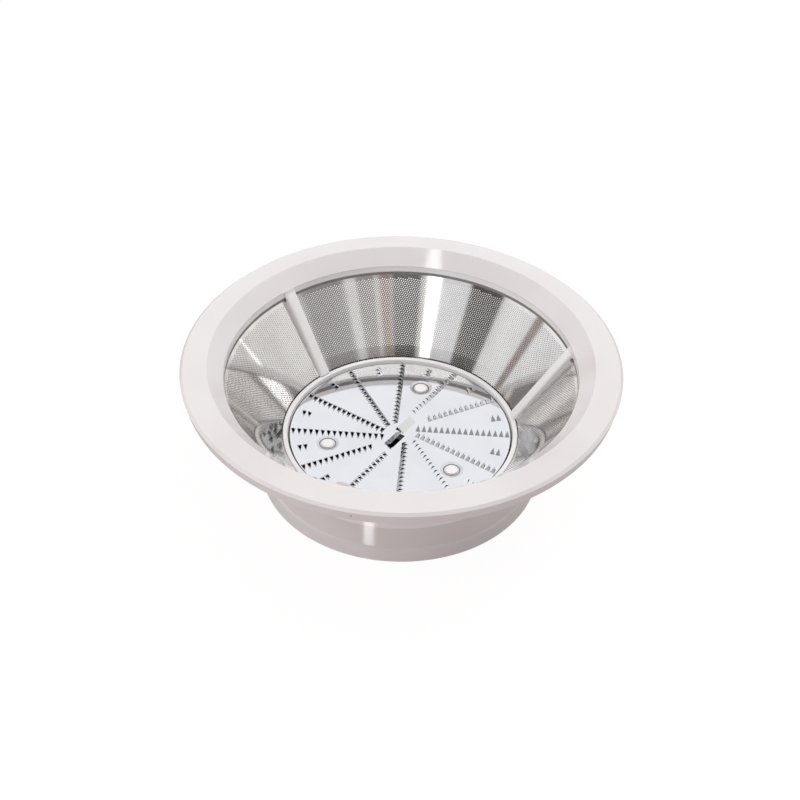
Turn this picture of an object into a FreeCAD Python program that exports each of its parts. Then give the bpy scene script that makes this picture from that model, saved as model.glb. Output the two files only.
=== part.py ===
import FreeCAD
import Part
import math
import os

# Spinning sieve basket of a centrifugal juicer, millimetres, +Z up.
# The skirt stands on z = 0 and the basket spins about the Z axis.

# Rim flange
rim_radius = 90.0
rim_lip_radius = 88.9
rim_lip_height = 5.6
rim_edge_height = 56.0
rim_crest_radius = 78.9
rim_crest_height = 57.2
rim_wall = 2.4
rim_lip_draft = 0.5
rim_edge_bevel = 1.1

# Throat between the flange and the screen
throat_radius = 72.6
throat_height = 51.4
collar_wall = 2.7

# Conical screen, measured on its inner face
screen_top_radius = 72.2
screen_top_height = 47.3
screen_foot_radius = 49.2
screen_foot_height = 18.9
screen_thickness = 0.4
screen_top_tuck = 2.2
screen_foot_tuck = 2.4
screen_border = 1.6
slots_per_panel = 20
slot_share = 0.42

# Moulded ribs over the screen
rib_count = 3
rib_first_angle = 88.8
rib_width = 5.0
rib_foot_rise = 1.3
rib_head_rise = 3.4
rib_backing = 1.8
rib_round = 1.1
rib_margin = 3.0

# Foot ring round the grating disc
ring_inner_radius = 43.6
ring_seat_height = 15.0
ring_bead_radius = 47.3
ring_outer_radius = 52.6
ring_outer_height = 20.0
ring_collar_height = 20.6

# Grating disc
disc_radius = 46.3
disc_fit = 0.55
disc_top = 17.7
disc_thickness = 0.7
tooth_row_count = 12
tooth_row_angle = 12.1
tooth_row_shift = 1.35
tooth_pitch = 2.5
tooth_edge_inset = 1.4
long_row_tooth_count = 16
short_row_tooth_count = 13
short_rows = (0, 5, 6, 11)
tooth_width = 2.1
tooth_length = 2.9
tooth_rise = 1.85
pair_tooth_count = 2
pair_edge_inset = 3.6
pair_pitch = 2.4

# Pair of raised cutting lips at the disc centre
lip_count = 2
lip_start = 0.6
lip_end = 9.4
lip_hinge = -1.5
lip_edge = 1.7
lip_rise = 1.9
lip_slot_edge = 2.9
lip_edge_thickness = 0.5

# Heat stakes that hold the disc
stake_count = 3
stake_first_angle = 30.0
stake_circle = 31.0
stake_pin_radius = 1.8
stake_pin_gap = 0.15
stake_head_radius = 2.7
stake_head_height = 0.45
stake_head_bevel = 0.2
stake_post_radius = 4.4
dimple_depth = 0.35
dimple_floor_radius = 3.3
dimple_mouth_radius = 4.6
dimple_patch_radius = 5.2

# Drive base
skirt_lip_radius = 58.65
skirt_lip_height = 5.6
skirt_lip_draft = 0.6
skirt_ledge_height = 6.3
skirt_radius = 57.1
skirt_top_height = 20.2
skirt_top_bevel = 1.0
skirt_wall = 2.5
base_nest_gap = 0.2
floor_thickness = 2.4

# Drive hub under the floor
hub_radius = 11.0
hub_mouth_height = 1.5
bore_radius = 6.0
bore_depth = 11.0
keyway_count = 2
keyway_width = 3.0
keyway_depth = 1.5
web_count = 6
web_thickness = 2.0
web_foot_height = 6.5
web_overlap = 0.6

full_turn = 360.0
spare = 1.0


def point(radius, height):
    return FreeCAD.Vector(radius, 0.0, height)


def turned(corners):
    """Solid of revolution about Z from a section's (radius, height) corners."""
    loop = [point(radius, height) for radius, height in corners]
    section = Part.Face(Part.makePolygon(loop + loop[:1]))
    return section.revolve(FreeCAD.Vector(), FreeCAD.Vector(0, 0, 1), full_turn)


def spun(shape, angle):
    """Copy of a shape turned about Z."""
    copy = shape.copy()
    copy.rotate(FreeCAD.Vector(), FreeCAD.Vector(0, 0, 1), angle)
    return copy


def ring_of(shape, count, first_angle=0.0):
    """Copies of a shape spread evenly round Z."""
    step = full_turn / count
    return [spun(shape, first_angle + step * index) for index in range(count)]


def polyhedron(points, faces):
    """Solid from corner points and faces that list point indexes."""
    shells = []
    for face in faces:
        loop = [points[index] for index in face]
        shells.append(Part.Face(Part.makePolygon(loop + loop[:1])))
    return Part.Solid(Part.Shell(shells))


def export(shape, name):
    """Write one solid as its own STEP file."""
    shape.exportStep("parts/" + name + ".step")
    print(name, "volume", round(shape.Volume, 1), "solids", len(shape.Solids), "valid", shape.isValid())


# The screen's slope sets the lines of the ribs and of both tucked edges.
screen_run = screen_top_radius - screen_foot_radius
screen_climb = screen_top_height - screen_foot_height
screen_slope = screen_run / screen_climb
screen_tilt = math.atan(screen_slope)
screen_width = screen_thickness / math.cos(screen_tilt)


def screen_radius(height):
    """Inner radius of the screen at a height."""
    return screen_foot_radius + (height - screen_foot_height) * screen_slope


def screen_sheet():
    """Plain cone of the screen, with the edges that the moulding grips."""
    low = screen_foot_height - screen_foot_tuck
    high = screen_top_height + screen_top_tuck
    return turned([
        (screen_radius(low), low),
        (screen_radius(low) + screen_width, low),
        (screen_radius(high) + screen_width, high),
        (screen_radius(high), high),
    ])


def rim_section():
    """Flange, outer lip, throat slope and the collar that grips the screen's top edge."""
    slope_run = rim_crest_radius - throat_radius
    slope_drop = rim_crest_height - throat_height
    slope_length = math.hypot(slope_run, slope_drop)
    channel_inner = rim_crest_radius + rim_wall * slope_drop / slope_length
    channel_outer = rim_lip_radius - rim_wall + rim_lip_draft
    top_fall = (rim_crest_height - rim_edge_height) / (rim_radius - rim_crest_radius)
    channel_top = rim_crest_height - rim_wall - (channel_inner - rim_crest_radius) * top_fall
    channel_edge = rim_crest_height - rim_wall - (channel_outer - rim_crest_radius) * top_fall
    collar_outer = throat_radius + collar_wall
    lip_bottom = rim_edge_height - rim_lip_height
    return [
        (rim_lip_radius, lip_bottom),
        (rim_radius, rim_edge_height - rim_edge_bevel),
        (rim_radius - rim_edge_bevel, rim_edge_height),
        (rim_crest_radius, rim_crest_height),
        (throat_radius, throat_height),
        (screen_top_radius, screen_top_height),
        (collar_outer, screen_top_height),
        (channel_inner, channel_top),
        (channel_outer, channel_edge),
        (rim_lip_radius - rim_wall, lip_bottom),
    ]


def ring_section():
    """Foot ring with the disc's seat, the rounded bead and the collar behind the screen."""
    disc_seat = disc_top - disc_thickness
    bead_mouth = disc_radius + disc_fit
    collar_radius = screen_radius(ring_collar_height) + screen_width / 2.0
    return [
        (ring_inner_radius, ring_seat_height),
        (ring_outer_radius, ring_seat_height),
        (ring_outer_radius, ring_outer_height),
        (collar_radius, ring_collar_height),
        (screen_foot_radius, screen_foot_height),
        (ring_bead_radius, screen_foot_height),
        (bead_mouth, disc_seat),
        (ring_inner_radius, disc_seat),
    ]


def rib_bar():
    """One rib lying on the screen at angle 0, deeper towards the rim."""
    length = math.hypot(screen_run, screen_climb) + rib_margin
    half = rib_width / 2.0
    corners = [
        FreeCAD.Vector(-rib_foot_rise, -half, 0.0),
        FreeCAD.Vector(rib_backing, -half, 0.0),
        FreeCAD.Vector(rib_backing, -half, length),
        FreeCAD.Vector(-rib_head_rise, -half, length),
    ]
    side = Part.Face(Part.makePolygon(corners + corners[:1]))
    bar = side.extrude(FreeCAD.Vector(0.0, rib_width, 0.0))
    long_edges = [edge for edge in bar.Edges if edge.BoundBox.ZLength > rib_width]
    inner_edges = [edge for edge in long_edges if edge.BoundBox.XMax < 0.0]
    bar = bar.makeFillet(rib_round, inner_edges)
    bar.rotate(FreeCAD.Vector(), FreeCAD.Vector(0, 1, 0), math.degrees(screen_tilt))
    bar.translate(point(screen_foot_radius, screen_foot_height))
    return bar


def rim_frame():
    """Rim, ribs and foot ring moulded as one piece round the screen."""
    rim = turned(rim_section())
    ring = turned(ring_section())
    ribs = ring_of(rib_bar(), rib_count, rib_first_angle)
    return rim.fuse([ring] + ribs).cut(screen_sheet()).removeSplitter()


def slit_wedge(low, high, width_angle):
    """Wedge between two planes through the axis, which cuts one slit at angle 0."""
    half = math.radians(width_angle / 2.0)
    near = screen_radius(low) - spare
    far = screen_radius(high) + screen_width + spare
    corners = [
        FreeCAD.Vector(near, -near * math.tan(half), low),
        FreeCAD.Vector(far, -far * math.tan(half), low),
        FreeCAD.Vector(far, far * math.tan(half), low),
        FreeCAD.Vector(near, near * math.tan(half), low),
    ]
    base = Part.Face(Part.makePolygon(corners + corners[:1]))
    return base.extrude(FreeCAD.Vector(0, 0, high - low))


def mesh_screen():
    """Conical sheet with slits between plain top, foot and rib borders."""
    low = screen_foot_height + screen_border
    high = screen_top_height - screen_border
    panel_angle = full_turn / rib_count
    rib_angle = math.degrees((rib_width + 2.0 * screen_border) / screen_foot_radius)
    step = (panel_angle - rib_angle) / slots_per_panel
    slit = slit_wedge(low, high, step * slot_share)
    slits = []
    for panel in range(rib_count):
        start = rib_first_angle + panel_angle * panel + (rib_angle + step) / 2.0
        for index in range(slots_per_panel):
            slits.append(spun(slit, start + step * index))
    return screen_sheet().cut(slits)


def tooth_hole(along, across):
    """Outline of the hole left by one tooth, in the disc's underside."""
    half = tooth_width / 2.0
    level = disc_top - disc_thickness
    corners = [
        FreeCAD.Vector(along - half, across, level),
        FreeCAD.Vector(along + half, across, level),
        FreeCAD.Vector(along, across + tooth_length, level),
    ]
    return Part.makePolygon(corners + corners[:1])


def tooth_tab(along, across):
    """Triangular tooth bent up out of the disc, its point facing the turn."""
    half = tooth_width / 2.0
    low = disc_top - disc_thickness
    reach = math.sqrt(tooth_length ** 2 - tooth_rise ** 2)
    points = [
        FreeCAD.Vector(along - half, across, low),
        FreeCAD.Vector(along + half, across, low),
        FreeCAD.Vector(along + half, across, disc_top),
        FreeCAD.Vector(along - half, across, disc_top),
        FreeCAD.Vector(along, across + reach, disc_top + tooth_rise),
    ]
    return polyhedron(points, [(0, 1, 2, 3), (4, 1, 0), (3, 2, 4), (1, 4, 2), (4, 0, 3)])


def tooth_places():
    """(angle, along, across) of every tooth on the disc."""
    places = []
    row_step = full_turn / tooth_row_count
    for row in range(tooth_row_count):
        teeth = short_row_tooth_count if row in short_rows else long_row_tooth_count
        for index in range(teeth):
            along = disc_radius - tooth_edge_inset - tooth_pitch * index
            places.append((tooth_row_angle + row_step * row, along, tooth_row_shift))
        for index in range(pair_tooth_count):
            along = disc_radius - pair_edge_inset - pair_pitch * index
            places.append((row_step * row, along, -tooth_length / 2.0))
    return places


def lip_hole():
    """Outline of the slot in front of one cutting lip."""
    level = disc_top - disc_thickness
    corners = [
        FreeCAD.Vector(lip_start, lip_hinge, level),
        FreeCAD.Vector(lip_end, lip_hinge, level),
        FreeCAD.Vector(lip_end, lip_slot_edge, level),
        FreeCAD.Vector(lip_start, lip_slot_edge, level),
    ]
    return Part.makePolygon(corners + corners[:1])


def lip_tab():
    """Cutting lip bent up behind its slot."""
    low = disc_top - disc_thickness
    tip = disc_top + lip_rise
    points = [
        FreeCAD.Vector(lip_start, lip_hinge, low),
        FreeCAD.Vector(lip_end, lip_hinge, low),
        FreeCAD.Vector(lip_end, lip_edge, tip - lip_edge_thickness),
        FreeCAD.Vector(lip_start, lip_edge, tip - lip_edge_thickness),
        FreeCAD.Vector(lip_start, lip_hinge, disc_top),
        FreeCAD.Vector(lip_end, lip_hinge, disc_top),
        FreeCAD.Vector(lip_end, lip_edge, tip),
        FreeCAD.Vector(lip_start, lip_edge, tip),
    ]
    sides = [(0, 1, 5, 4), (1, 2, 6, 5), (2, 3, 7, 6), (3, 0, 4, 7)]
    return polyhedron(points, [(3, 2, 1, 0), (4, 5, 6, 7)] + sides)


def stake_dimple():
    """Sunken seat for one stake head."""
    low = disc_top - disc_thickness
    sunk_low = low - dimple_depth
    sunk_top = disc_top - dimple_depth
    hole = stake_pin_radius + stake_pin_gap
    seat = turned([
        (hole, sunk_low),
        (dimple_floor_radius, sunk_low),
        (dimple_mouth_radius, low),
        (dimple_patch_radius, low),
        (dimple_patch_radius, disc_top),
        (dimple_mouth_radius, disc_top),
        (dimple_floor_radius, sunk_top),
        (hole, sunk_top),
    ])
    seat.translate(point(stake_circle, 0.0))
    return seat


def grating_disc():
    """Steel disc with punched teeth, cutting lips and stake seats."""
    level = disc_top - disc_thickness
    up = FreeCAD.Vector(0, 0, 1)
    outline = Part.Wire(Part.makeCircle(disc_radius, FreeCAD.Vector(0, 0, level), up))
    patch = Part.Wire(Part.makeCircle(dimple_patch_radius, point(stake_circle, level), up))
    holes = ring_of(patch, stake_count, stake_first_angle)
    tabs = []
    for angle, along, across in tooth_places():
        holes.append(spun(tooth_hole(along, across), angle))
        tabs.append(spun(tooth_tab(along, across), angle))
    holes += ring_of(lip_hole(), lip_count, tooth_row_angle)
    tabs += ring_of(lip_tab(), lip_count, tooth_row_angle)
    sheet = Part.makeFace([outline] + holes, "Part::FaceMakerBullseye")
    blank = sheet.extrude(FreeCAD.Vector(0, 0, disc_thickness))
    seats = ring_of(stake_dimple(), stake_count, stake_first_angle)
    return blank.fuse(seats + tabs).removeSplitter()


def drum_section():
    """Skirt, shoulder, floor and hub of the base, from the axis outwards."""
    floor_top = ring_seat_height
    floor_low = floor_top - floor_thickness
    nest = ring_outer_radius + base_nest_gap
    bore_end = hub_mouth_height + bore_depth
    inner = skirt_radius - skirt_wall
    return [
        (0.0, bore_end),
        (bore_radius, bore_end),
        (bore_radius, hub_mouth_height),
        (hub_radius, hub_mouth_height),
        (hub_radius, floor_low),
        (inner, floor_low),
        (inner, 0.0),
        (skirt_lip_radius, 0.0),
        (skirt_lip_radius - skirt_lip_draft, skirt_lip_height),
        (skirt_radius, skirt_ledge_height),
        (skirt_radius, skirt_top_height - skirt_top_bevel),
        (skirt_radius - skirt_top_bevel, skirt_top_height),
        (nest, skirt_top_height),
        (nest, floor_top),
        (0.0, floor_top),
    ]


def stake():
    """Post, pin and flattened head of one heat stake, at angle 0."""
    floor_top = ring_seat_height
    seat_low = disc_top - disc_thickness - dimple_depth
    seat_top = disc_top - dimple_depth
    head_top = seat_top + stake_head_height
    post = turned([
        (0.0, floor_top - spare),
        (stake_post_radius, floor_top - spare),
        (stake_post_radius, seat_low),
        (stake_pin_radius, seat_low),
        (stake_pin_radius, seat_top),
        (stake_head_radius, seat_top),
        (stake_head_radius, head_top - stake_head_bevel),
        (stake_head_radius - stake_head_bevel, head_top),
        (0.0, head_top),
    ])
    post.translate(point(stake_circle, 0.0))
    return post


def web():
    """One stiffening web under the floor, from the hub to the skirt."""
    floor_low = ring_seat_height - floor_thickness
    inner = hub_radius - web_overlap
    outer = skirt_radius - skirt_wall + web_overlap
    plate = Part.makeBox(outer - inner, web_thickness, floor_low - web_foot_height + web_overlap)
    plate.translate(FreeCAD.Vector(inner, -web_thickness / 2.0, web_foot_height))
    return plate


def keyway():
    """Slot in the bore wall that takes a drive key."""
    slot = Part.makeBox(bore_radius + keyway_depth, keyway_width, bore_depth + spare)
    slot.translate(FreeCAD.Vector(0.0, -keyway_width / 2.0, hub_mouth_height - spare))
    return slot


def drive_base():
    """Skirt drum with the floor, the keyed hub and the stakes."""
    drum = turned(drum_section())
    webs = ring_of(web(), web_count, stake_first_angle)
    stakes = ring_of(stake(), stake_count, stake_first_angle)
    keyways = ring_of(keyway(), keyway_count)
    return drum.fuse(webs + stakes).cut(keyways).removeSplitter()


os.makedirs("parts", exist_ok=True)
export(rim_frame(), "rim_frame")
export(mesh_screen(), "mesh_screen")
export(grating_disc(), "grating_disc")
export(drive_base(), "drive_base")
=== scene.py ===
# %% [markdown]
# # Juicer sieve basket
# The basket spins inside a juicer: fruit is torn by the toothed steel disc, the pulp is thrown
# against the perforated cone, and the juice leaves through its holes. A white moulding holds the
# steel together. The solid parts come in as a fixed frame, so this lesson only dresses them.

# %% Load the frame
import math

import bmesh
import bpy
import numpy as np
from mathutils import Matrix, Vector


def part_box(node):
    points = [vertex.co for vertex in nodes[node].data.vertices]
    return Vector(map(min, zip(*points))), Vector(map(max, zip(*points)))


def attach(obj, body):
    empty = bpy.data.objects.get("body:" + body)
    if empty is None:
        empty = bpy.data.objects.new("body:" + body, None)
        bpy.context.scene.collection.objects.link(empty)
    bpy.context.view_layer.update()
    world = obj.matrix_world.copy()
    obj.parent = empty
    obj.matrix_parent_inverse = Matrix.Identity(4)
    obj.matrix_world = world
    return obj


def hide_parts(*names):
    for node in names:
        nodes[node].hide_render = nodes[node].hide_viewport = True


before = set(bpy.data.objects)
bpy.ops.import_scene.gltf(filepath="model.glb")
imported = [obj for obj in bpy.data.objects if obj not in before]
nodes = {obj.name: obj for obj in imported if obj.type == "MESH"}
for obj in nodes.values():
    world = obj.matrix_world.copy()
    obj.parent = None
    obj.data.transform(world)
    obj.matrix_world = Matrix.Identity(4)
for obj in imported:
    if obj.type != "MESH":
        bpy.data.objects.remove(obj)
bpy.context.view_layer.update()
MM = 0.001

# %% [markdown]
# ## Angles
# The photograph was taken at a slant to the basket's ribs. Directions in the studio, such as
# those of the camera and lamps, are easier to think of as seen from the camera: 0 degrees to its
# right, 90 behind the basket and 270 at the camera. One turn brings them into the frame.

# %% Studio directions
STUDIO_TURN = 43.3


def studio_direction(azimuth, elevation):
    """Unit vector towards a studio direction, both angles in degrees."""
    around = math.radians(azimuth - STUDIO_TURN)
    above = math.radians(elevation)
    flat = math.cos(above)
    return Vector((math.cos(around) * flat, math.sin(around) * flat, math.sin(above)))


print("camera side", tuple(round(v, 3) for v in studio_direction(270, 0)))

# %% [markdown]
# ## Shader sums as Python sums
# A finish is a small calculation: speckle plus scratches, less a worn patch. Placing Math nodes
# by hand hides that, so one class wraps a socket and turns each operator into its node.


# %% The wire class
class Wire:
    """One shader socket that can be added, multiplied and mixed like a number."""

    def __init__(self, tree, socket=None):
        self.tree = tree
        self.socket = socket

    def plug(self, socket, value):
        """Link a wire to a socket, or set the socket's own value."""
        if isinstance(value, Wire):
            self.tree.links.new(value.socket, socket)
        else:
            socket.default_value = value

    def node(self, kind, settings=None, sockets=None, output=0):
        """Add any node: settings first, then the values or links of its sockets."""
        made = self.tree.nodes.new("ShaderNode" + kind)
        for name, value in (settings or {}).items():
            setattr(made, name, value)
        for name, value in (sockets or {}).items():
            self.plug(made.inputs[name], value)
        return Wire(self.tree, made.outputs[output])

    def math(self, operation, first, second=0.0):
        return self.node("Math", {"operation": operation}, {0: first, 1: second})

    def __add__(self, other):
        return self.math("ADD", self, other)

    def __radd__(self, other):
        return self.math("ADD", other, self)

    def __sub__(self, other):
        return self.math("SUBTRACT", self, other)

    def __rsub__(self, other):
        return self.math("SUBTRACT", other, self)

    def __mul__(self, other):
        return self.math("MULTIPLY", self, other)

    def __rmul__(self, other):
        return self.math("MULTIPLY", other, self)

    def between(self, low, high):
        """0 at low, 1 at high, smooth in between."""
        settings = {"interpolation_type": "SMOOTHSTEP"}
        return self.node("MapRange", settings, {"Value": self, "From Min": low, "From Max": high})

    def window(self, low, high, soft):
        """1 between low and high, falling to 0 over a soft edge."""
        return self.between(low - soft, low + soft) * (1 - self.between(high - soft, high + soft))

    def colours(self, low, high):
        """Colour that goes from low to high as this value goes from 0 to 1."""
        settings = {"data_type": "RGBA", "clamp_factor": True}
        return self.node("Mix", settings, {0: self, 6: low, 7: high}, 2)

    def scaled(self, factors):
        """This vector times another, part by part."""
        return self.node("VectorMath", {"operation": "MULTIPLY"}, {0: self, 1: factors})

    def distance(self, place):
        """How far this position is from a place."""
        return self.node("VectorMath", {"operation": "DISTANCE"}, {0: self, 1: place}, 1)

    def parts(self):
        """The x, y and z of a vector, as three wires."""
        split = self.node("SeparateXYZ", None, {0: self}).socket.node
        return [Wire(self.tree, socket) for socket in split.outputs]

    def spread(self):
        """How far this position is from the spin axis."""
        side, depth, _ = self.parts()
        return self.math("SQRT", side * side + depth * depth)

    def noise(self, scale, detail):
        return self.node("TexNoise", None, {"Vector": self, "Scale": scale, "Detail": detail})


print("wire class ready")


# %% Start and bump of a finish
def new_finish(name, constants):
    """Material with its constant shader values; returns it, its shader and the position wire."""
    material = bpy.data.materials.new(name)
    material.use_nodes = True
    shader = material.node_tree.nodes["Principled BSDF"]
    for socket, value in constants.items():
        shader.inputs[socket].default_value = value
    position = Wire(material.node_tree).node("TexCoord", output=3)
    return material, shader, position


def raise_grain(shader, height, strength, distance):
    """Feed a height to the shader's normal through a bump node."""
    sockets = {"Strength": strength, "Distance": distance, "Height": height}
    bump = height.node("Bump", None, sockets)
    bump.plug(shader.inputs["Normal"], bump)


print("shader helpers ready")

# %% [markdown]
# ## Where the moulding changes
# Inside the bowl, the ribs, the foot ring and the stake heads are painted a cleaner white: painted
# light that makes them brighter than the lamps leave them. The closed space under the disc and the
# narrow gap round it get no light, so there the colour is painted near black as shade, and each
# tooth hole reads as a dark hole. The seam where the collar grips the screen is painted grey as
# shade for the same reason. These places could be painted by hand, but the basket is round, so the
# height and the distance to the spin axis are enough to find them.
# One small chip marks the rim's edge, round a point of its own.

# %% Plastic masks
BOWL_RADIUS = 73.0 * MM
BOWL_LOW, BOWL_HIGH = 17.0 * MM, 51.0 * MM
BOWL_SOFT = 0.3 * MM
CAVITY_RADIUS = 44.5 * MM
CAVITY_LOW, CAVITY_HIGH = 14.0 * MM, 16.9 * MM
GAP_RADIUS = 47.2 * MM
GAP_LOW, GAP_HIGH = 16.8 * MM, 17.25 * MM
DARK_SOFT = 0.05 * MM
SEAM_RADIUS = 71.3 * MM
SEAM_LOW, SEAM_HIGH = 46.9 * MM, 48.7 * MM
SEAM_SOFT = 0.2 * MM
RADIUS_FADE = 1.0 * MM
CHIP_SIZE = 0.55 * MM
CHIP_CORE = 0.5
CHIP_AZIMUTH = 258.1
CHIP_REACH, CHIP_HEIGHT = 89.6 * MM, 53.0 * MM
CHIP_PLACE = studio_direction(CHIP_AZIMUTH, 0.0) * CHIP_REACH + Vector((0.0, 0.0, CHIP_HEIGHT))


def moulding_masks(place):
    """Masks of the bowl painted lighter, the unlit places and the seam painted as shade, and the
    chip.
    """
    height = place.parts()[2]
    reach = place.spread()
    bowl = height.window(BOWL_LOW, BOWL_HIGH, BOWL_SOFT)
    bowl = bowl * reach.between(BOWL_RADIUS + RADIUS_FADE, BOWL_RADIUS)
    cavity = height.window(CAVITY_LOW, CAVITY_HIGH, DARK_SOFT)
    cavity = cavity * reach.between(CAVITY_RADIUS + RADIUS_FADE, CAVITY_RADIUS)
    gap = height.window(GAP_LOW, GAP_HIGH, DARK_SOFT)
    gap = gap * reach.window(CAVITY_RADIUS, GAP_RADIUS, DARK_SOFT)
    hidden = cavity.math("MAXIMUM", cavity, gap)
    seam = height.window(SEAM_LOW, SEAM_HIGH, SEAM_SOFT)
    seam = seam * reach.window(SEAM_RADIUS, BOWL_RADIUS, BOWL_SOFT)
    chip = 1 - place.distance(CHIP_PLACE).between(CHIP_SIZE * CHIP_CORE, CHIP_SIZE)
    return bowl, hidden, seam, chip


print("chip at", tuple(round(v, 4) for v in CHIP_PLACE))

# %% [markdown]
# ## White moulding
# The rim, ribs and base are injection-moulded plastic straight from a polished tool: a bright
# warm-grey white with a wet shine. A real moulding is never quite even, so cloudy noise shifts its
# colour, its roughness and, very slightly, its surface, which breaks long reflections.

# %% Plastic finish
PLASTIC_PALE = (0.825, 0.785, 0.785, 1.0)
PLASTIC_DEEP = (0.80, 0.755, 0.755, 1.0)
# Painted light: the ribs, foot ring and stake heads inside the bowl are painted whiter.
BOWL_PAINTED_LIGHT = (0.965, 0.935, 0.925, 1.0)
# Painted shade: near black under the disc and in the gap round it.
CAVITY_PAINTED_SHADE = (0.006, 0.006, 0.006, 1.0)
# Painted shade: the grey band in the seam where the collar grips the screen.
SEAM_PAINTED_SHADE = (0.26, 0.235, 0.225, 1.0)
CHIP_BROWN = (0.42, 0.33, 0.29, 1.0)
PLASTIC_CONSTANTS = {"IOR": 1.5, "Coat Roughness": 0.06}
FINE_DETAIL, CLOUDY_DETAIL = 2.0, 3.0
CLOUD_SCALE, PLASTIC_GRAIN_SCALE = 38.0, 900.0
CLOUD_LOW, CLOUD_HIGH = 0.3, 0.7
MOULD_ROUGH, CLOUD_ROUGH, GRAIN_ROUGH = 0.07, 0.06, 0.03
COAT_LEAST, COAT_SWING = 0.25, 0.2
CLOUD_SHARE, GRAIN_SHARE, CHIP_SHARE = 0.8, 0.2, 0.4
PLASTIC_BUMP, PLASTIC_BUMP_DEPTH = 0.08, 0.6 * MM


def moulded_plastic(name):
    material, shader, place = new_finish(name, PLASTIC_CONSTANTS)
    cloud = place.noise(CLOUD_SCALE, CLOUDY_DETAIL)
    grain = place.noise(PLASTIC_GRAIN_SCALE, FINE_DETAIL)
    bowl, hidden, seam, chip = moulding_masks(place)
    paint = cloud.between(CLOUD_LOW, CLOUD_HIGH).colours(PLASTIC_DEEP, PLASTIC_PALE)
    # Painted light in the bowl, then painted shade at the seam and, below, in the unlit places.
    paint = bowl.colours(paint, BOWL_PAINTED_LIGHT)
    paint = seam.colours(paint, SEAM_PAINTED_SHADE)
    paint = chip.colours(paint, CHIP_BROWN)
    place.plug(shader.inputs["Base Color"], hidden.colours(paint, CAVITY_PAINTED_SHADE))
    roughness = MOULD_ROUGH + cloud * CLOUD_ROUGH + grain * GRAIN_ROUGH
    place.plug(shader.inputs["Roughness"], roughness)
    coat = COAT_LEAST + cloud * COAT_SWING
    place.plug(shader.inputs["Coat Weight"], coat * (1 - hidden))
    surface = cloud * CLOUD_SHARE + grain * GRAIN_SHARE - chip * CHIP_SHARE
    raise_grain(shader, surface, PLASTIC_BUMP, PLASTIC_BUMP_DEPTH)
    return material


white_plastic = moulded_plastic("white moulded plastic")
print("finish", white_plastic.name)

# %% [markdown]
# ## Polished disc
# The grating disc is stainless sheet with a near-mirror polish. What makes steel look like steel is
# the very fine scratching of polishing and of use, here rings of noise stretched round the centre.
# The teeth and lips that stand up from it are sheared and bent after polishing, so they are duller,
# and so are the pressed seats of the stakes. A thin grey ring is painted round each stake head as
# the shadow in the crease at its foot.

# %% Places of the stakes
STAKE_CIRCLE = 31.0 * MM
STAKE_ANGLES = (30.0, 150.0, 270.0)


def nearest_stake(place):
    """How far a place on the disc is from the axis of the nearest stake."""
    flat = place.scaled((1.0, 1.0, 0.0))
    distances = []
    for angle in STAKE_ANGLES:
        turn = math.radians(angle)
        centre = (STAKE_CIRCLE * math.cos(turn), STAKE_CIRCLE * math.sin(turn), 0.0)
        distances.append(flat.distance(centre))
    nearest = place.math("MINIMUM", distances[0], distances[1])
    return place.math("MINIMUM", nearest, distances[2])


print("stakes at", STAKE_ANGLES, "degrees")

# %% Disc finish
DISC_BRIGHT = (0.905, 0.91, 0.935, 1.0)
DISC_SHADE = (0.855, 0.862, 0.89, 1.0)
# Painted shadow: a thin grey ring in the crease round each stake head.
CREASE_PAINTED_SHADE = (0.22, 0.21, 0.20, 1.0)
DISC_TOP = 17.7 * MM
RAISED_LOW, RAISED_HIGH = 0.05 * MM, 0.3 * MM
CREASE_RADIUS, CREASE_WIDTH = 3.35 * MM, 0.22 * MM
DIMPLE_RADIUS = 4.7 * MM
SEAT_SOFT = 0.1 * MM
RINGS_PER_METRE, RING_TURNS = 2600.0, 3.0
SMEAR_SCALE = 60.0
SMEAR_LOW, SMEAR_HIGH = 0.25, 0.7
DISC_ROUGH, SMEAR_ROUGH, RING_ROUGH = 0.015, 0.03, 0.015
TOOTH_ROUGH, SEAT_ROUGH = 0.12, 0.3
DISC_BUMP, DISC_BUMP_DEPTH = 0.03, 0.01 * MM


def polished_steel(name):
    material, shader, place = new_finish(name, {"Metallic": 1.0})
    side, depth, height = place.parts()
    raised = height.between(DISC_TOP + RAISED_LOW, DISC_TOP + RAISED_HIGH)
    stake = nearest_stake(place)
    crease = stake.window(CREASE_RADIUS - CREASE_WIDTH, CREASE_RADIUS + CREASE_WIDTH, SEAT_SOFT)
    dimple = stake.between(DIMPLE_RADIUS + SEAT_SOFT, DIMPLE_RADIUS)
    turn = place.math("ARCTAN2", depth, side)
    ring_sockets = {"X": place.spread() * RINGS_PER_METRE, "Y": turn * RING_TURNS}
    rings = place.node("CombineXYZ", None, ring_sockets).noise(1.0, FINE_DETAIL)
    smear = place.noise(SMEAR_SCALE, CLOUDY_DETAIL)
    sheen = smear.between(SMEAR_LOW, SMEAR_HIGH).colours(DISC_SHADE, DISC_BRIGHT)
    place.plug(shader.inputs["Base Color"], crease.colours(sheen, CREASE_PAINTED_SHADE))
    polish = DISC_ROUGH + smear * SMEAR_ROUGH + rings * RING_ROUGH
    place.plug(shader.inputs["Roughness"], polish + raised * TOOTH_ROUGH + dimple * SEAT_ROUGH)
    raise_grain(shader, rings, DISC_BUMP, DISC_BUMP_DEPTH)
    return material


disc_steel = polished_steel("polished disc steel")
print("finish", disc_steel.name)
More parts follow.
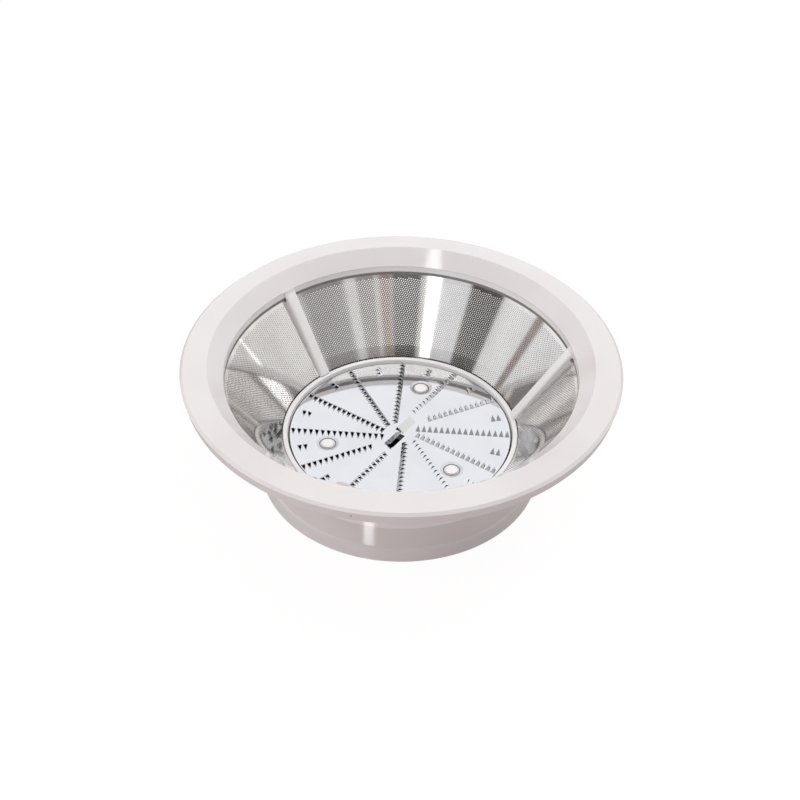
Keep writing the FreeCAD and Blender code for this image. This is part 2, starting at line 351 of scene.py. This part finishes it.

# %% [markdown]
# ## Screen steel
# The cone is rolled from thin perforated sheet. It is bright too, but punching leaves it a little
# wavy and its face slightly rough, so its mirror images turn into streaks. The walls of the holes
# are torn by the punch and stay matt; their dark colour is partly painted shade inside the narrow
# holes, so at a slant they show as dark dots, while looking straight through a hole shows a pale
# dot of the floor behind. At its foot, where the inner face enters the moulding, a dark crease is
# painted in as shade.

# %% Screen finish
SCREEN_BRIGHT = (0.90, 0.885, 0.875, 1.0)
SCREEN_SHADE = (0.80, 0.78, 0.765, 1.0)
# Painted shade: the dark crease where the screen's foot enters the moulding.
FOOT_PAINTED_SHADE = (0.03, 0.03, 0.03, 1.0)
SCREEN_METALLIC = 0.93
FOOT_CREASE, FOOT_CREASE_SOFT = 19.35 * MM, 0.1 * MM
FOOT_REACH, FOOT_REACH_SOFT = 49.65 * MM, 0.05 * MM
STREAK_STRETCH = (1.0, 1.0, 0.25)
STREAK_SCALE, SCREEN_GRAIN_SCALE = 70.0, 1500.0
STREAK_LOW, STREAK_HIGH = 0.3, 0.7
SCREEN_ROUGH, STREAK_ROUGH, SCREEN_GRAIN_ROUGH = 0.035, 0.05, 0.03
STREAK_SHARE, SCREEN_GRAIN_SHARE = 0.8, 0.2
SCREEN_BUMP, SCREEN_BUMP_DEPTH = 0.06, 0.2 * MM


def rolled_steel(name):
    material, shader, place = new_finish(name, {"Metallic": SCREEN_METALLIC})
    streak = place.scaled(STREAK_STRETCH).noise(STREAK_SCALE, CLOUDY_DETAIL)
    grain = place.noise(SCREEN_GRAIN_SCALE, FINE_DETAIL)
    sheen = streak.between(STREAK_LOW, STREAK_HIGH).colours(SCREEN_SHADE, SCREEN_BRIGHT)
    height = place.parts()[2]
    foot = height.between(FOOT_CREASE + FOOT_CREASE_SOFT, FOOT_CREASE - FOOT_CREASE_SOFT)
    inner = place.spread().between(FOOT_REACH + FOOT_REACH_SOFT, FOOT_REACH - FOOT_REACH_SOFT)
    place.plug(shader.inputs["Base Color"], (foot * inner).colours(sheen, FOOT_PAINTED_SHADE))
    roughness = SCREEN_ROUGH + streak * STREAK_ROUGH + grain * SCREEN_GRAIN_ROUGH
    place.plug(shader.inputs["Roughness"], roughness)
    surface = streak * STREAK_SHARE + grain * SCREEN_GRAIN_SHARE
    raise_grain(shader, surface, SCREEN_BUMP, SCREEN_BUMP_DEPTH)
    return material


screen_steel = rolled_steel("rolled screen steel")
print("finish", screen_steel.name)

# %% Finish of the hole walls
# The hole walls are matt torn steel, and their dark colour is partly painted shade inside the
# narrow holes.
WALL_BRIGHT = (0.17, 0.163, 0.16, 1.0)
WALL_SHADE = (0.08, 0.077, 0.075, 1.0)
WALL_METALLIC = 0.3
WALL_GRAIN_SCALE = 1200.0
WALL_ROUGH, WALL_GRAIN_ROUGH = 0.45, 0.2


def punched_wall(name):
    material, shader, place = new_finish(name, {"Metallic": WALL_METALLIC})
    grain = place.noise(WALL_GRAIN_SCALE, FINE_DETAIL)
    place.plug(shader.inputs["Base Color"], grain.colours(WALL_SHADE, WALL_BRIGHT))
    place.plug(shader.inputs["Roughness"], WALL_ROUGH + grain * WALL_GRAIN_ROUGH)
    return material


hole_steel = punched_wall("torn steel in the holes")
print("finish", hole_steel.name)

# %% [markdown]
# ## Soft edges
# A mould never leaves a knife edge, and the thin bright line along a rounded edge is what makes
# plastic look moulded. Each moulding is copied, its coplanar triangles are joined again, and a
# bevel rounds the edges. Weighted normals keep the flat faces flat in between.

# %% Round the mouldings
SHARP_ANGLE = math.radians(22.0)
FLAT_ANGLE = math.radians(0.3)
SAME_POINT = 0.001 * MM
EDGE_ROUND = 0.35 * MM
EDGE_STEPS = 3


def softened(node_name):
    """Copy of a moulding with rounded edges, which takes the place of its solid."""
    body = bmesh.new()
    body.from_mesh(nodes[node_name].data)
    bmesh.ops.remove_doubles(body, verts=body.verts, dist=SAME_POINT)
    bmesh.ops.dissolve_limit(body, angle_limit=FLAT_ANGLE, verts=body.verts, edges=body.edges)
    mesh = bpy.data.meshes.new(node_name + " moulding")
    body.to_mesh(mesh)
    body.free()
    mesh.shade_smooth()
    piece = bpy.data.objects.new(node_name + "_moulding", mesh)
    bpy.context.scene.collection.objects.link(piece)
    bevel = piece.modifiers.new("rounded edges", "BEVEL")
    bevel.limit_method = "ANGLE"
    bevel.angle_limit = SHARP_ANGLE
    bevel.width = EDGE_ROUND
    bevel.segments = EDGE_STEPS
    piece.modifiers.new("flat faces", "WEIGHTED_NORMAL")
    mesh.materials.clear()
    mesh.materials.append(white_plastic)
    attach(piece, "root")
    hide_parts(node_name)
    return piece


mouldings = [softened(node_name) for node_name in ("rim_frame", "drive_base")]
for piece in mouldings:
    print(piece.name, len(piece.data.polygons), "faces before rounding")

# %% [markdown]
# ## Disc
# A bevel could round the disc too, but punched and bent sheet keeps its sharp edges, and the solid
# already has every tooth with its hole. So the solid itself gets the finish, and no copy is made.

# %% Dress the disc
nodes["grating_disc"].data.materials.clear()
nodes["grating_disc"].data.materials.append(disc_steel)
print("dressed", nodes["grating_disc"].name)

# %% [markdown]
# ## Perforated screen
# The sheet is punched flat, with round holes in staggered rows, then cut to a fan shape and rolled
# into a cone. The mesh is made the same way: hexagonal cells are laid out in the flat, each with a
# hole where the sheet is perforated, and every point is then rolled onto the cone. The outer edges
# of the fan end inside the moulding, so their zigzag is never seen.

# %% Cone sizes from the frame
SAME_LEVEL = 0.01 * MM
screen_low, screen_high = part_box("mesh_screen")
screen_points = np.array([v.co for v in nodes["mesh_screen"].data.vertices])
foot_points = screen_points[screen_points[:, 2] < screen_low.z + SAME_LEVEL]
head_points = screen_points[screen_points[:, 2] > screen_high.z - SAME_LEVEL]
foot_radius = float(np.hypot(foot_points[:, 0], foot_points[:, 1]).min())
head_radius = float(np.hypot(head_points[:, 0], head_points[:, 1]).min())
cone_climb = screen_high.z - screen_low.z
cone_run = head_radius - foot_radius
cone_slant = math.hypot(cone_climb, cone_run)
cone_sine = cone_run / cone_slant
foot_slant = foot_radius / cone_sine
end_slant = foot_slant + cone_slant
cone_sizes = [round(size, 5) for size in (foot_radius, head_radius, cone_slant)]
print("cone foot, head and slant", cone_sizes)

# %% Cells of one flat panel
FULL_TURN = 360.0
PANELS = 3
HOLE_PITCH = 0.99 * MM
FOOT_PLAIN = 1.6 * MM
HEAD_PLAIN = 4.4 * MM
RIB_PLAIN = 3.4 * MM


def flat_cells():
    """Centres of the cells between two ribs, and which of them have a hole."""
    half_fan = math.radians(FULL_TURN / PANELS) * cone_sine / 2.0
    row_step = HOLE_PITCH * math.sqrt(3.0) / 2.0
    half_count = math.ceil(end_slant * math.sin(half_fan) / HOLE_PITCH)
    first_row = math.floor(foot_slant * math.cos(half_fan) / row_step)
    rows = np.arange(first_row, math.ceil(end_slant / row_step) + 1)
    columns = np.arange(-half_count - 1, half_count + 2)
    column, row = np.meshgrid(columns, rows)
    across = (column + 0.5 * (row % 2)) * HOLE_PITCH
    along = row * row_step
    slant = np.hypot(across, along)
    bend = np.arctan2(across, along)
    inside = (slant > foot_slant) & (slant < end_slant) & (np.abs(bend) < half_fan)
    centres = np.stack([across[inside], along[inside]], -1)
    slant, bend = slant[inside], bend[inside]
    holed = (slant > foot_slant + FOOT_PLAIN) & (slant < end_slant - HEAD_PLAIN)
    holed = holed & ((half_fan - np.abs(bend)) * slant > RIB_PLAIN)
    return centres, holed


cell_centres, cell_holed = flat_cells()
hole_count = int(cell_holed.sum())
print("panel cells", len(cell_centres), "holes", hole_count)

# %% Roll flat points onto the cone
SHEET = 0.4 * MM
HOLE_RADIUS = 0.28 * MM
FIRST_RIB = 88.8
CORNERS = 6
FIRST_CORNER = 30.0


def roll(slant, turn, lift):
    """Cone points from the distance to the tip, the turn and the lift off the inner face."""
    radius = slant * cone_sine
    height = screen_low.z + (slant - foot_slant) * cone_climb / cone_slant
    radius = radius + lift * cone_climb / cone_slant
    height = height - lift * cone_run / cone_slant
    return np.stack([radius * np.cos(turn), radius * np.sin(turn), height], -1)


def panel_points(index):
    """Inner and outer points of one panel: the cells' corners, then those of the holes."""
    corner = np.radians(FIRST_CORNER + FULL_TURN / CORNERS * np.arange(CORNERS))
    spoke = np.stack([np.cos(corner), np.sin(corner)], -1)
    rim = cell_centres[:, None] + spoke * (HOLE_PITCH / math.sqrt(3.0))
    hole = cell_centres[cell_holed][:, None] + spoke * HOLE_RADIUS
    flat = np.concatenate([rim.reshape(-1, 2), hole.reshape(-1, 2)])
    middle = math.radians(FIRST_RIB + FULL_TURN / PANELS * (index + 0.5))
    turn = middle - np.arctan2(flat[:, 0], flat[:, 1]) / cone_sine
    slant = np.hypot(flat[:, 0], flat[:, 1])
    return roll(slant, turn, 0.0), roll(slant, turn, SHEET)


print("points on each face", len(panel_points(0)[0]))


# %% Build the panel meshes
def panel_faces(count):
    """Faces of the sheet and walls of its holes; outer points come count after inner ones."""
    cells = len(cell_centres)
    rim = np.arange(cells * CORNERS).reshape(cells, CORNERS)
    hole = np.arange(hole_count * CORNERS).reshape(-1, CORNERS) + cells * CORNERS
    plain = rim[~cell_holed]
    outer = rim[cell_holed]
    faces = [tuple(cell) for cell in plain]
    faces += [tuple(cell[::-1] + count) for cell in plain]
    walls = []
    for step in range(CORNERS):
        onward = (step + 1) % CORNERS
        ring = np.stack([outer[:, step], outer[:, onward], hole[:, onward], hole[:, step]], -1)
        near, far = hole[:, step], hole[:, onward]
        wall = np.stack([near, far, far + count, near + count], -1)
        faces += [tuple(quad) for quad in ring]
        faces += [tuple(quad[::-1] + count) for quad in ring]
        walls += [tuple(quad) for quad in wall]
    return faces, walls


def panel_mesh(index):
    """One third of the sheet, from the middle of a rib to the middle of the next."""
    inner, outer = panel_points(index)
    faces, walls = panel_faces(len(inner))
    finish_index = [0] * len(faces) + [1] * len(walls)
    corners = [[int(v) for v in face] for face in faces + walls]
    mesh = bpy.data.meshes.new("screen panel %d" % (index + 1))
    mesh.from_pydata(np.concatenate([inner, outer]).tolist(), [], corners)
    mesh.polygons.foreach_set("material_index", finish_index)
    mesh.materials.append(screen_steel)
    mesh.materials.append(hole_steel)
    mesh.update()
    return mesh


for index in range(PANELS):
    panel = bpy.data.objects.new("screen_panel_%d" % (index + 1), panel_mesh(index))
    bpy.context.scene.collection.objects.link(panel)
    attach(panel, "root")
    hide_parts("mesh_screen")
    print(panel.name, len(panel.data.vertices), "points", len(panel.data.polygons), "faces")

# %% [markdown]
# ## Floor
# The photograph is a catalogue picture on pure white. The floor is pale paper that takes the
# basket's shadow, and camera rays see it mixed with an even white glow, so it ends nearly white.
# Mirror rays don't see it, because the room painted below has a table top of its own.

# %% Floor
WHITE = (1.0, 1.0, 1.0, 1.0)
FLOOR_PAPER = (0.62, 0.52, 0.515, 1.0)
FLOOR_SIZE = 6.0
FLOOR_DROP = 0.2 * MM
FLOOR_GLOW = 1.12
GLOW_SHARE = 0.84


def stage_floor():
    corners = [(-1, -1), (1, -1), (1, 1), (-1, 1)]
    mesh = bpy.data.meshes.new("studio floor")
    points = [(x * FLOOR_SIZE / 2, y * FLOOR_SIZE / 2, -FLOOR_DROP) for x, y in corners]
    mesh.from_pydata(points, [], [(0, 1, 2, 3)])
    floor = bpy.data.objects.new("studio_floor", mesh)
    bpy.context.scene.collection.objects.link(floor)
    material = bpy.data.materials.new("white sweep")
    material.use_nodes = True
    tree = material.node_tree
    wire = Wire(tree)
    tree.nodes.remove(tree.nodes["Principled BSDF"])
    paper = wire.node("BsdfDiffuse", None, {"Color": FLOOR_PAPER})
    glow = wire.node("Emission", None, {"Color": WHITE, "Strength": FLOOR_GLOW})
    share = wire.node("LightPath", output="Is Camera Ray") * GLOW_SHARE
    mixed = wire.node("MixShader", None, {0: share, 1: paper, 2: glow})
    wire.plug(tree.nodes["Material Output"].inputs["Surface"], mixed)
    mesh.materials.append(material)
    floor.visible_glossy = False


stage_floor()
print("floor", FLOOR_SIZE, "m")

# %% [markdown]
# ## Painted room
# Polished steel looks like what it mirrors: a tall strip light left of the camera, the dark room
# behind the camera as black and brown streaks, and paler walls at the sides and back. The world
# paints that room for mirror rays only, so it shows in every shine and adds no soft light. Most
# patches are a window of azimuths times a window of elevations, and later ones cover earlier ones.

# %% Direction of a mirror ray
HALF_TURN = 180.0
DEGREES = HALF_TURN / math.pi
world = bpy.data.worlds.new("studio world")
bpy.context.scene.world = world
world.use_nodes = True
sky = Wire(world.node_tree)
aim_x, aim_y, aim_z = sky.node("TexCoord", output=0).parts()
# Two whole turns are added first, so that the remainder is never negative.
azimuth = sky.math("ARCTAN2", aim_y, aim_x) * DEGREES + (STUDIO_TURN + 2.0 * FULL_TURN)
azimuth = sky.math("MODULO", azimuth, FULL_TURN)
right_azimuth = sky.math("MODULO", azimuth + HALF_TURN, FULL_TURN) - HALF_TURN
elevation = sky.math("ARCSINE", aim_z) * DEGREES


def painted(room, around, around_edges, above_edges, colour):
    """The room with one more patch; the edges are a low, a high and a soft width in degrees."""
    patch = around.window(*around_edges) * elevation.window(*above_edges)
    return patch.colours(room, colour)


print("mirror directions ready")

# %% Walls, shelf and ceiling
ROOM_WALL = (0.52, 0.51, 0.50, 1.0)
BACK_WALL = (0.90, 0.905, 0.92, 1.0)
BACK_WALL_EDGES = (0.0, 200.0, 12.0)
OVERHEAD_PANEL = (0.66, 0.665, 0.68, 1.0)
OVERHEAD_LOW, OVERHEAD_HIGH = 66.0, 74.0
UPPER_BACK = (1.2, 1.17, 1.15, 1.0)
BACK_SHELF = (0.20, 0.19, 0.19, 1.0)
ROOM_CEILING = (0.30, 0.295, 0.295, 1.0)
UPPER_PATCHES = {
    "upper back wall": (azimuth, (70.0, 110.0, 8.0), (53.0, 66.0, 2.0), UPPER_BACK),
    "back shelf": (azimuth, (60.0, 120.0, 5.0), (46.0, 52.5, 0.7), BACK_SHELF),
    "ceiling": (azimuth, (180.0, 350.0, 15.0), (48.0, 78.0, 6.0), ROOM_CEILING),
}
room = azimuth.window(*BACK_WALL_EDGES).colours(ROOM_WALL, BACK_WALL)
for patch in UPPER_PATCHES.values():
    room = painted(room, *patch)
room = elevation.between(OVERHEAD_LOW, OVERHEAD_HIGH).colours(room, OVERHEAD_PANEL)
print("upper room", list(UPPER_PATCHES))

# %% Bands behind the camera
EYE_LEVEL = (5.0, 43.0, 2.0)
ROOM_BANDS = [
    (311.0, 340.0, 4.0, (0.26, 0.25, 0.245, 1.0)),
    (303.0, 310.0, 1.0, (0.64, 0.63, 0.62, 1.0)),
    (290.0, 302.0, 1.0, (0.28, 0.265, 0.26, 1.0)),
    (277.5, 286.0, 2.2, (0.25, 0.165, 0.135, 1.0)),
    (256.5, 277.0, 1.4, (0.04, 0.04, 0.04, 1.0)),
    (222.0, 243.0, 0.8, (0.70, 0.71, 0.73, 1.0)),
    (200.0, 222.0, 1.2, (0.06, 0.055, 0.05, 1.0)),
    (170.8, 176.4, 1.2, (0.30, 0.235, 0.22, 1.0)),
    (120.0, 134.0, 3.0, (0.40, 0.30, 0.25, 1.0)),
]
eye_level = elevation.window(*EYE_LEVEL)
for low, high, soft, colour in ROOM_BANDS:
    room = (azimuth.window(low, high, soft) * eye_level).colours(room, colour)
print("bands", len(ROOM_BANDS))

# %% Strip light and side walls
STRIP_SHINE = (2.2, 2.2, 2.2, 1.0)
RIGHT_WALL = (0.86, 0.845, 0.835, 1.0)
RIGHT_UPPER = (1.08, 1.06, 1.05, 1.0)
LEFT_UPPER = (1.30, 1.27, 1.25, 1.0)
RIGHT_SHELF = (0.78, 0.77, 0.74, 1.0)
WINDOW_SHINE = (2.0, 2.0, 2.0, 1.0)
SIDE_PATCHES = {
    "strip light": (azimuth, (242.5, 252.2, 0.8), (5.0, 42.5, 0.5), STRIP_SHINE),
    "right wall": (right_azimuth, (-12.0, 33.0, 4.0), (5.0, 31.0, 2.0), RIGHT_WALL),
    "upper right wall": (right_azimuth, (-18.0, 12.0, 2.0), (32.0, 47.0, 1.5), RIGHT_UPPER),
    "upper left wall": (azimuth, (160.0, 183.0, 2.0), (27.0, 40.0, 1.5), LEFT_UPPER),
    "right shelf": (azimuth, (18.0, 33.0, 1.0), (37.0, 48.0, 1.0), RIGHT_SHELF),
    "right window": (azimuth, (25.2, 27.0, 0.6), (10.2, 12.1, 0.4), WINDOW_SHINE),
}
for patch in SIDE_PATCHES.values():
    room = painted(room, *patch)
print("side patches", list(SIDE_PATCHES))

# %% Skylight and table
SKYLIGHT_SHINE = (3.0, 3.0, 3.05, 1.0)
SKYLIGHT_EDGES = (327.5, 338.0, 1.0)
SKYLIGHT_SLANT = 0.78
SKYLIGHT_LINE_EDGES = (312.6, 315.8, 0.7)
TABLE_TOP = (0.50, 0.49, 0.485, 1.0)
HORIZON_SOFT = 0.5
TABLE_SHINE = (12.0, 12.0, 12.0, 1.0)
TABLE_SHINE_AROUND = (240.5, 249.0, 1.0)
TABLE_SHINE_ABOVE = (-44.0, -36.0, 1.5)
skylight_line = elevation + azimuth * SKYLIGHT_SLANT
skylight = azimuth.window(*SKYLIGHT_EDGES) * skylight_line.window(*SKYLIGHT_LINE_EDGES)
room = skylight.colours(room, SKYLIGHT_SHINE)
room = elevation.between(HORIZON_SOFT, -HORIZON_SOFT).colours(room, TABLE_TOP)
room = painted(room, azimuth, TABLE_SHINE_AROUND, TABLE_SHINE_ABOVE, TABLE_SHINE)
print("skylight and table ready")

# %% Share the world out by kind of ray
SOFT_LIGHT = (0.58, 0.58, 0.58, 1.0)
mirror_ray = sky.node("LightPath", output="Is Glossy Ray")
camera_ray = sky.node("LightPath", output="Is Camera Ray")
lit_room = mirror_ray.colours(SOFT_LIGHT, room)
background = world.node_tree.nodes["Background"]
sky.plug(background.inputs["Color"], camera_ray.colours(lit_room, WHITE))
print("world ready, soft light", SOFT_LIGHT[0])

# %% [markdown]
# ## Lamps
# A low key from the left, a fill from behind on the right and a panel overhead light the plastic.
# They are hidden from mirror rays, which see the painted room instead. The small strip above is
# seen in mirror rays, and is linked to the mouldings alone: it puts the one hard highlight on the
# sloping throat and leaves the steel teeth calm.

# %% Lamps
LAMP_AIM = Vector((0.0, 0.0, 30.0 * MM))
LAMPS = {
    "throat highlight": (243.4, 59.0, 1.3, (0.12, 0.30), 0.75, (1.0, 1.0, 1.0)),
    "key strip": (208.0, 30.0, 1.3, (0.35, 0.9), 4.0, (1.0, 0.99, 0.98)),
    "back fill": (40.0, 48.0, 1.3, (0.6, 0.6), 5.0, (1.0, 1.0, 1.0)),
    "top panel": (80.0, 75.0, 1.5, (1.2, 1.2), 3.0, (0.98, 0.99, 1.0)),
}


def lamp(name, around, above, distance, size, power, colour):
    """Rectangular soft lamp that looks at the basket; size in metres and power in watts."""
    light = bpy.data.lights.new(name, "AREA")
    light.shape = "RECTANGLE"
    light.size, light.size_y = size
    light.energy = power
    light.color = colour
    holder = bpy.data.objects.new(name, light)
    bpy.context.scene.collection.objects.link(holder)
    direction = studio_direction(around, above)
    holder.location = LAMP_AIM + direction * distance
    holder.rotation_euler = direction.to_track_quat("Z", "Y").to_euler()
    holder.visible_glossy = False
    return holder


holders = {name: lamp(name, *values) for name, values in LAMPS.items()}
highlighted = bpy.data.collections.new("mouldings")
for piece in mouldings:
    highlighted.objects.link(piece)
highlight = holders["throat highlight"]
highlight.visible_glossy = True
highlight.light_linking.receiver_collection = highlighted
print("lamps", list(holders))

# %% [markdown]
# ## Camera
# The viewing angle, distance and lens were found by fitting the outlines of the rim, throat, ring
# and skirt in the photograph. The basket's axis leans a little in it, which a picture cropped off
# the lens axis does, so the camera stands to the left and its frame is shifted back.

# %% Camera
IMAGE_SIDE = 800.0
FOCAL_PIXELS = 1800.0
SENSOR_WIDTH = 36.0
NEAREST_SEEN = 10.0 * MM
CAMERA_DISTANCE = 0.74864
CAMERA_ELEVATION = 40.43
CAMERA_ROLL = 0.72
AIM_HEIGHT = 30.0 * MM
AIM_DROP_PIXELS = 10.2
LENS_SIDE_PIXELS = 12.6
CROP_SIDE_PIXELS = 12.0

camera_data = bpy.data.cameras.new("photo camera")
camera = bpy.data.objects.new("photo camera", camera_data)
bpy.context.scene.collection.objects.link(camera)
backward = studio_direction(270.0, CAMERA_ELEVATION)
sideways = studio_direction(0.0, 0.0)
upward = backward.cross(sideways)
side_step = CAMERA_DISTANCE * LENS_SIDE_PIXELS / FOCAL_PIXELS
stand = Vector((0.0, 0.0, AIM_HEIGHT)) + backward * CAMERA_DISTANCE
camera.location = stand - sideways * side_step
aim_lift = AIM_DROP_PIXELS / FOCAL_PIXELS
look_back = (backward - upward * aim_lift).normalized()
look_up = look_back.cross(sideways)
turned = Matrix((sideways, look_up, look_back)).transposed()
rolled = turned @ Matrix.Rotation(math.radians(CAMERA_ROLL), 3, "Z")
camera.rotation_euler = rolled.to_euler()
camera_data.shift_x = CROP_SIDE_PIXELS / IMAGE_SIDE
camera_data.sensor_width = SENSOR_WIDTH
camera_data.lens = FOCAL_PIXELS / IMAGE_SIDE * camera_data.sensor_width
camera_data.clip_start = NEAREST_SEEN
bpy.context.scene.camera = camera
bpy.context.scene.view_settings.view_transform = "Standard"
print("camera at", tuple(round(v, 4) for v in camera.location), "lens", round(camera_data.lens, 1))
